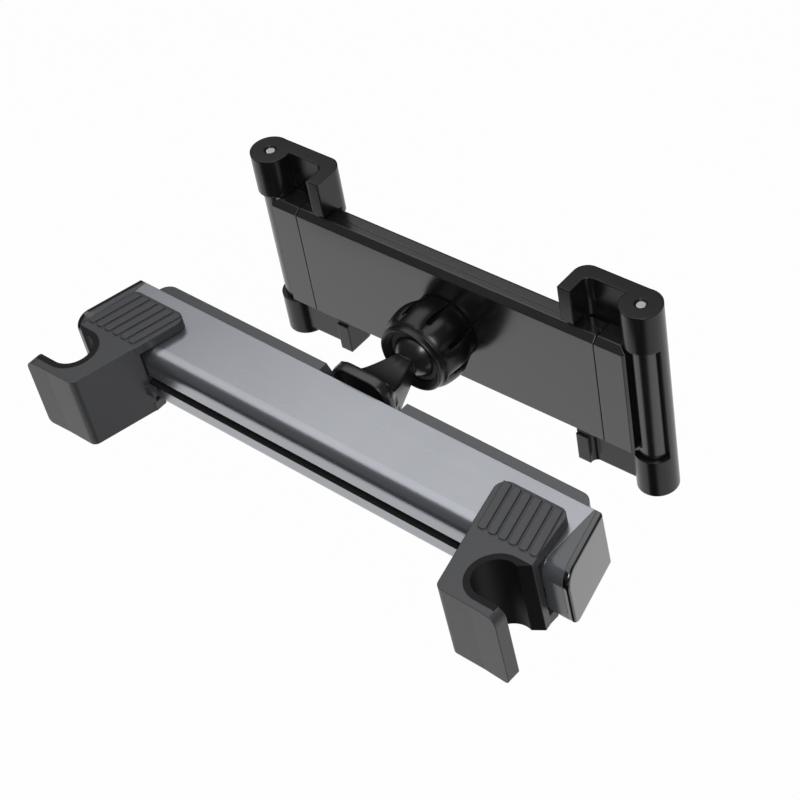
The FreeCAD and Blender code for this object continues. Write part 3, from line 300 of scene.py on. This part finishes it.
# Liners: soft rubber glued in the hooks' mouths. The pad behind the tablet is the same.
rubber = finish_of("liner_rubber", (0.006, 0.006, 0.007), 0.6, grain=1300, depth=0.03,
                   edge=0.0004, ior=1.35)
dress(rubber, "left_hook_liner", "right_hook_liner", "tablet_pad")

# Ball arm: one moulding of hard gloss black plastic. Its foot is a rounded plate with a rolled
# rim, hollow in front; the shaft flares out to meet it and carries the ball on a short neck.
hard_black = finish_of("hard_gloss_black", (0.013, 0.013, 0.014), 0.3, grain=500, depth=0.006,
                       spread=0.04, edge=0.0004, coat=0.2, ior=1.55)
arm_level = 0.0019
foot_rise = 0.00135
foot_middle = arm_level + foot_rise
ball_place = (0, 0.0674, arm_level)
smooth_angle = 0.6


def start_plate(name, half_width, half_height, corner, y, z):
    """A rounded plate facing along Y, the start of a lofted moulding, and its extent."""
    bpy.ops.object.select_all(action="DESELECT")
    bpy.ops.mesh.primitive_plane_add(size=2, location=(0, y, z), rotation=(math.pi / 2, 0, 0))
    piece = bpy.context.object
    piece.name = name
    piece.scale = (half_width, half_height, 1)
    bpy.ops.object.transform_apply(location=True, rotation=True, scale=True)
    bpy.ops.object.mode_set(mode="EDIT")
    bpy.ops.mesh.select_all(action="SELECT")
    bpy.ops.mesh.bevel(offset=corner, segments=6, affect="VERTICES")
    bpy.ops.mesh.select_all(action="SELECT")
    return piece, (half_width, z - half_height, z + half_height, y)


def grow(rings, now):
    """Extrude the selected plate through rings of half width, low, high and place along Y."""
    for ring in rings:
        wide, low, high, y = (number * 0.001 for number in ring)
        old_wide, old_low, old_high, old_y = now
        middle = (old_low + old_high) / 2
        bpy.ops.mesh.extrude_region_move(TRANSFORM_OT_translate={"value": (0, y - old_y, 0)})
        bpy.ops.transform.resize(value=(wide / old_wide, 1, (high - low) / (old_high - old_low)),
                                 center_override=(0, y, middle))
        bpy.ops.transform.translate(value=(0, 0, (low + high) / 2 - middle))
        now = (wide, low, high, y)


def close_mesh():
    """Face all outwards and shade round forms smooth."""
    bpy.ops.mesh.select_all(action="SELECT")
    bpy.ops.mesh.remove_doubles(threshold=0.000002)
    bpy.ops.mesh.normals_make_consistent(inside=False)
    bpy.ops.object.mode_set(mode="OBJECT")
    bpy.ops.object.shade_smooth_by_angle(angle=smooth_angle)


foot, extent = start_plate("arm_foot", 0.0101, 0.00945, 0.0052, 0.0407, foot_middle)
grow([(10.3, -6.4, 12.9, 39.4), (10.6, -6.7, 13.2, 39.1), (11.0, -7.1, 13.6, 39.0),
      (11.3, -7.4, 13.9, 39.2), (11.5, -7.6, 14.1, 39.8), (11.5, -7.6, 14.1, 41.8),
      (11.4, -7.5, 14.0, 42.4), (11.1, -7.2, 13.7, 42.9), (10.6, -6.7, 13.2, 43.1)],
     extent)
close_mesh()

shaft, extent = start_plate("arm_shaft", 0.0034, 0.0033, 0.0007, 0.0597, arm_level)
grow([(3.7, -1.7, 5.2, 59.3), (4.3, -1.8, 5.2, 57.6), (5.0, -2.0, 5.25, 55.8),
      (5.7, -2.2, 5.35, 54.0), (6.4, -2.4, 5.5, 52.2), (7.1, -2.6, 5.75, 50.4),
      (7.8, -2.9, 6.15, 48.6), (8.45, -3.2, 6.75, 47.0), (9.05, -3.6, 7.6, 45.6),
      (9.6, -4.1, 8.8, 44.5), (10.1, -4.8, 10.3, 43.7), (10.5, -5.8, 12.1, 43.2),
      (10.6, -6.2, 12.8, 42.9)], extent)
close_mesh()

# Two hollows on each side of the shaft, wider towards the foot, save plastic. Each is given by
# where it starts and ends along Y and in height, in millimetres.
hollow_out = 0.0115
hollows = []
for side in (-1, 1):
    for low, high in (((43.6, -3.4), (48.4, 0.9)), ((43.6, 1.7), (50.6, 4.3))):
        bpy.ops.object.select_all(action="DESELECT")
        bpy.ops.mesh.primitive_cube_add(size=0.001, location=(hollow_out * side, 0, 0))
        hollow = bpy.context.object
        hollow.scale = (5.2, high[0] - low[0], 1.5)
        bpy.ops.object.transform_apply(location=False, rotation=False, scale=True)
        bpy.ops.object.mode_set(mode="EDIT")
        bpy.ops.mesh.select_all(action="DESELECT")
        bpy.ops.object.mode_set(mode="OBJECT")
        for face in hollow.data.polygons:
            face.select = face.normal.y < -0.9
        bpy.ops.object.mode_set(mode="EDIT")
        bpy.ops.transform.resize(value=(1, 1, 2.2), center_override=(hollow_out * side, 0, 0))
        bpy.ops.mesh.select_all(action="SELECT")
        bpy.ops.mesh.bevel(offset=0.0003, segments=3)
        bpy.ops.object.mode_set(mode="OBJECT")
        hollow.location = (hollow_out * side, (low[0] + high[0]) / 2000, (low[1] + high[1]) / 2000)
        hollows.append(hollow)
for hollow in hollows:
    cutting = shaft.modifiers.new("hollow", "BOOLEAN")
    cutting.object = hollow
    cutting.operation = "DIFFERENCE"
    cutting.solver = "EXACT"
    bpy.context.view_layer.objects.active = shaft
    bpy.ops.object.modifier_apply(modifier=cutting.name)
    bpy.data.objects.remove(hollow)

bpy.ops.object.select_all(action="DESELECT")
bpy.ops.mesh.primitive_uv_sphere_add(segments=64, ring_count=32, radius=0.0086,
                                     location=ball_place, rotation=(math.pi / 2, 0, 0))
arm_ball = bpy.context.object
bpy.ops.object.mode_set(mode="EDIT")
bpy.ops.mesh.select_all(action="DESELECT")
bpy.ops.object.mode_set(mode="OBJECT")
for face in arm_ball.data.polygons:
    face.select = face.center.z > 0.0078
bpy.ops.object.mode_set(mode="EDIT")
bpy.ops.mesh.extrude_region_move(TRANSFORM_OT_translate={"value": (0, -0.004, 0)})
bpy.ops.object.mode_set(mode="OBJECT")
bpy.ops.object.transform_apply(location=True, rotation=True, scale=True)
bpy.ops.object.shade_smooth_by_angle(angle=smooth_angle)
bpy.ops.object.select_all(action="DESELECT")
for piece in (foot, shaft, arm_ball):
    piece.select_set(True)
bpy.context.view_layer.objects.active = foot
bpy.ops.object.join()
arm = bpy.context.object
arm.name = "ball_arm_moulding"
arm.data.materials.append(hard_black)
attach(arm, "bar")
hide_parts("ball_arm")

# Collar nut: turned by hand to lock the ball. It is moulded in a slightly duller black, with a
# plain rolled lip in front and eight soft lobes for the fingers behind it.
lobes = 8
valley = math.radians(26.25)
bpy.ops.object.select_all(action="DESELECT")
bpy.ops.mesh.primitive_circle_add(vertices=96, radius=0.0092, location=(0, -0.0043, 0),
                                  rotation=(math.pi / 2, 0, 0))
nut = bpy.context.object
nut.name = "collar_nut_grip"
bpy.ops.object.transform_apply(location=True, rotation=True, scale=True)


def off_valley(spot):
    """How far a point lies from the nearest valley between two lobes, in degrees."""
    turn = math.degrees(math.atan2(spot.z, spot.x) - valley) % (360 / lobes)
    return min(turn, 360 / lobes - turn)


def pick_ring(y, reach=180.0):
    """Select the outermost ring at one place, or only its points near the valleys."""
    bpy.ops.object.mode_set(mode="OBJECT")
    for edge in nut.data.edges:
        edge.select = False
    for face in nut.data.polygons:
        face.select = False
    at_ring = [point for point in nut.data.vertices if abs(point.co.y - y) < 1e-6]
    outer = max(math.hypot(point.co.x, point.co.z) for point in at_ring)
    for point in nut.data.vertices:
        point.select = False
    for point in at_ring:
        near_outer = math.hypot(point.co.x, point.co.z) > outer * 0.9
        point.select = near_outer and off_valley(point.co) < reach
    bpy.ops.object.mode_set(mode="EDIT")


def deepen(y, depth):
    """Pull the ring in at the valleys, more at their middle."""
    bpy.context.tool_settings.mesh_select_mode = (True, False, False)
    for reach, part in ((1.0, 0.42), (5.0, 0.3), (9.0, 0.18), (12.5, 0.1)):
        pick_ring(y, reach)
        bpy.ops.transform.resize(value=(1 - depth * part, 1, 1 - depth * part),
                                 center_override=(0, y, 0))
    bpy.ops.object.mode_set(mode="OBJECT")
    bpy.ops.object.mode_set(mode="EDIT")


# Each ring has its radius and its place along Y in millimetres, and the depth of its valleys.
profile = [
    (9.5, -4.75, 0), (11.0, -5.7, 0), (11.35, -6.1, 0), (11.6, -6.2, 0), (11.85, -6.05, 0),
    (12.1, -5.6, 0), (12.2, -4.9, 0), (12.2, -4.3, 0), (12.0, -4.1, 0), (12.25, -3.8, 0),
    (12.9, -3.1, 0),
    (13.25, -2.5, 0.055), (13.65, -1.3, 0.03), (14.0, 0.4, 0.02), (14.2, 2.2, 0.01),
    (14.25, 4.0, 0), (14.0, 5.8, 0), (13.4, 7.6, 0), (12.7, 9.2, -0.055), (12.2, 10.4, -0.045),
    (12.1, 12.0, -0.02),
]
bpy.ops.object.mode_set(mode="EDIT")
bpy.ops.mesh.select_all(action="SELECT")
radius, place = 9.2, -4.3
for wide, y, depth in profile:
    bpy.ops.mesh.extrude_region_move(TRANSFORM_OT_translate={"value": (0, (y - place) / 1000, 0)})
    bpy.ops.transform.resize(value=(wide / radius, 1, wide / radius),
                             center_override=(0, y / 1000, 0))
    radius, place = wide, y
    if depth:
        deepen(y / 1000, depth)
        pick_ring(y / 1000)
bpy.ops.object.mode_set(mode="OBJECT")
wall = nut.modifiers.new("wall", "SOLIDIFY")
wall.thickness = 0.0009
wall.offset = -1
bpy.context.view_layer.objects.active = nut
bpy.ops.object.mode_set(mode="EDIT")
bpy.ops.mesh.select_all(action="SELECT")
bpy.ops.mesh.normals_make_consistent(inside=False)
bpy.ops.object.mode_set(mode="OBJECT")
bpy.ops.object.modifier_apply(modifier=wall.name)
bpy.ops.object.shade_smooth_by_angle(angle=math.radians(24))
# The mouth, a funnel down to the ball, and the ball socket get a darker, less glossy copy of the
# nut's black, as painted shade in the recess.
for face in nut.data.polygons:
    face.select = (math.hypot(face.center.x, face.center.z) < 0.0109
                   and -0.0058 < face.center.y < -0.0033)
tilt = Matrix.Translation(ball_place)
for axis, degrees in (("Z", 2.5), ("Y", 1.7), ("X", -1.8)):
    tilt = tilt @ Matrix.Rotation(math.radians(degrees), 4, axis)
nut.matrix_world = tilt
bpy.ops.object.transform_apply(location=True, rotation=True, scale=True)
nut_black = finish_of("nut_black", (0.0045, 0.0045, 0.005), 0.33, grain=900, depth=0.006,
                      spread=0.04, edge=0.0005, ior=1.48)
# Painted shade: a darker, duller copy of the nut's black with a lower IOR, so that the mouth and
# the socket read as shaded.
nut_mouth_painted_shade = finish_of("nut_mouth_painted_shade", (0.004, 0.004, 0.004), 0.5, grain=900, depth=0.006, ior=1.3)
nut.data.materials.append(nut_black)
nut.data.materials.append(nut_mouth_painted_shade)
for face in nut.data.polygons:
    face.material_index = 1 if face.select else 0
dress(nut_mouth_painted_shade, "ball_socket")
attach(nut, "nut")
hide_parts("collar_nut")

# Cradle: the covers and slides are moulded in semi-gloss black and screwed together. The
# folding hooks are the same plastic with a finer grain, pinned to the slides.
semi_black = finish_of("semi_gloss_black", (0.010, 0.010, 0.0105), 0.22, grain=1200, depth=0.01,
                       spread=0.05, edge=0.0004, ior=1.75)
dress(semi_black, "rear_cover", "front_cover", "left_slide", "right_slide")
hook_black = finish_of("hook_black", (0.008, 0.008, 0.009), 0.24, grain=1500, depth=0.008,
                       spread=0.05, edge=0.0007, ior=1.42)
dress(hook_black, "left_folding_hook", "right_folding_hook")

# Seats: natural acetal. Springs and hinge pins: bright steel. The screws are black oxide.
acetal = finish_of("natural_acetal", (0.6, 0.6, 0.57), 0.35)
dress(acetal, "rear_ball_cup", "front_ball_ring")
steel = finish_of("bright_steel", (0.72, 0.72, 0.73), 0.22, metal=1.0, grain=400, depth=0.004,
                  edge=0.0002)
dress(steel, "left_hinge_pin", "right_hinge_pin", "left_hook_spring", "right_hook_spring",
      "left_slide_spring", "right_slide_spring")
black_oxide = finish_of("black_oxide", (0.022, 0.022, 0.026), 0.38, metal=0.7, grain=600,
                        depth=0.006, edge=0.0002)
dress(black_oxide, "rear_plate_screws", "arm_screws", "left_slider_screws",
      "right_slider_screws", "cover_screws")
